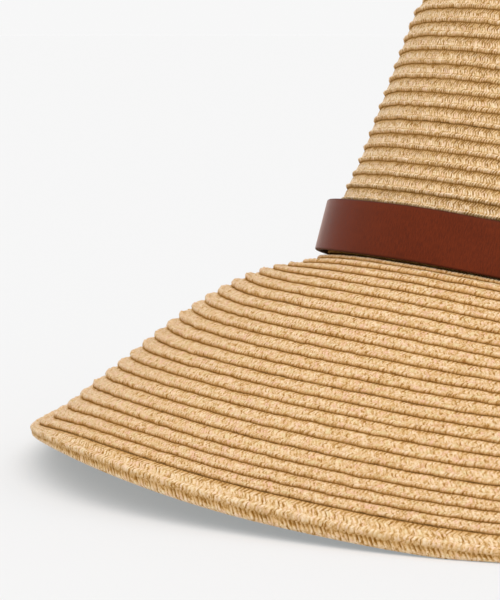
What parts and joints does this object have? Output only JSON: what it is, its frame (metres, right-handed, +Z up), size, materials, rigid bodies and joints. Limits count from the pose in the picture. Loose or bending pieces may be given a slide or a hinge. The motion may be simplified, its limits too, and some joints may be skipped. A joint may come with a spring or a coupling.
{
  "type": "wide brim straw hat",
  "caption": "Wide brim sun hat of sewn straw braid with a drooping waved brim and a plain leather band, resting on its rim.",
  "frame": {"origin": "middle of the hat's bounding box in plan, on the surface that its rim rests on", "axes": "+Z up, -Y the front, +X the wearer's left as the hat faces -Y; the crown leans to +X and +Y and the rim is lifted at -X"},
  "size_m": [0.4296, 0.4152, 0.1933],
  "materials": {
    "straw": "sewn straw braid, matt with a soft sheen",
    "straw_edge": "wide straw braid, matt with a soft sheen",
    "leather": "smooth, matt"
  },
  "bodies": {
    "root": {"crown": "straw", "brim": "straw", "edge_braid": "straw_edge", "hat_band": "leather"}
  },
  "joints": []
}
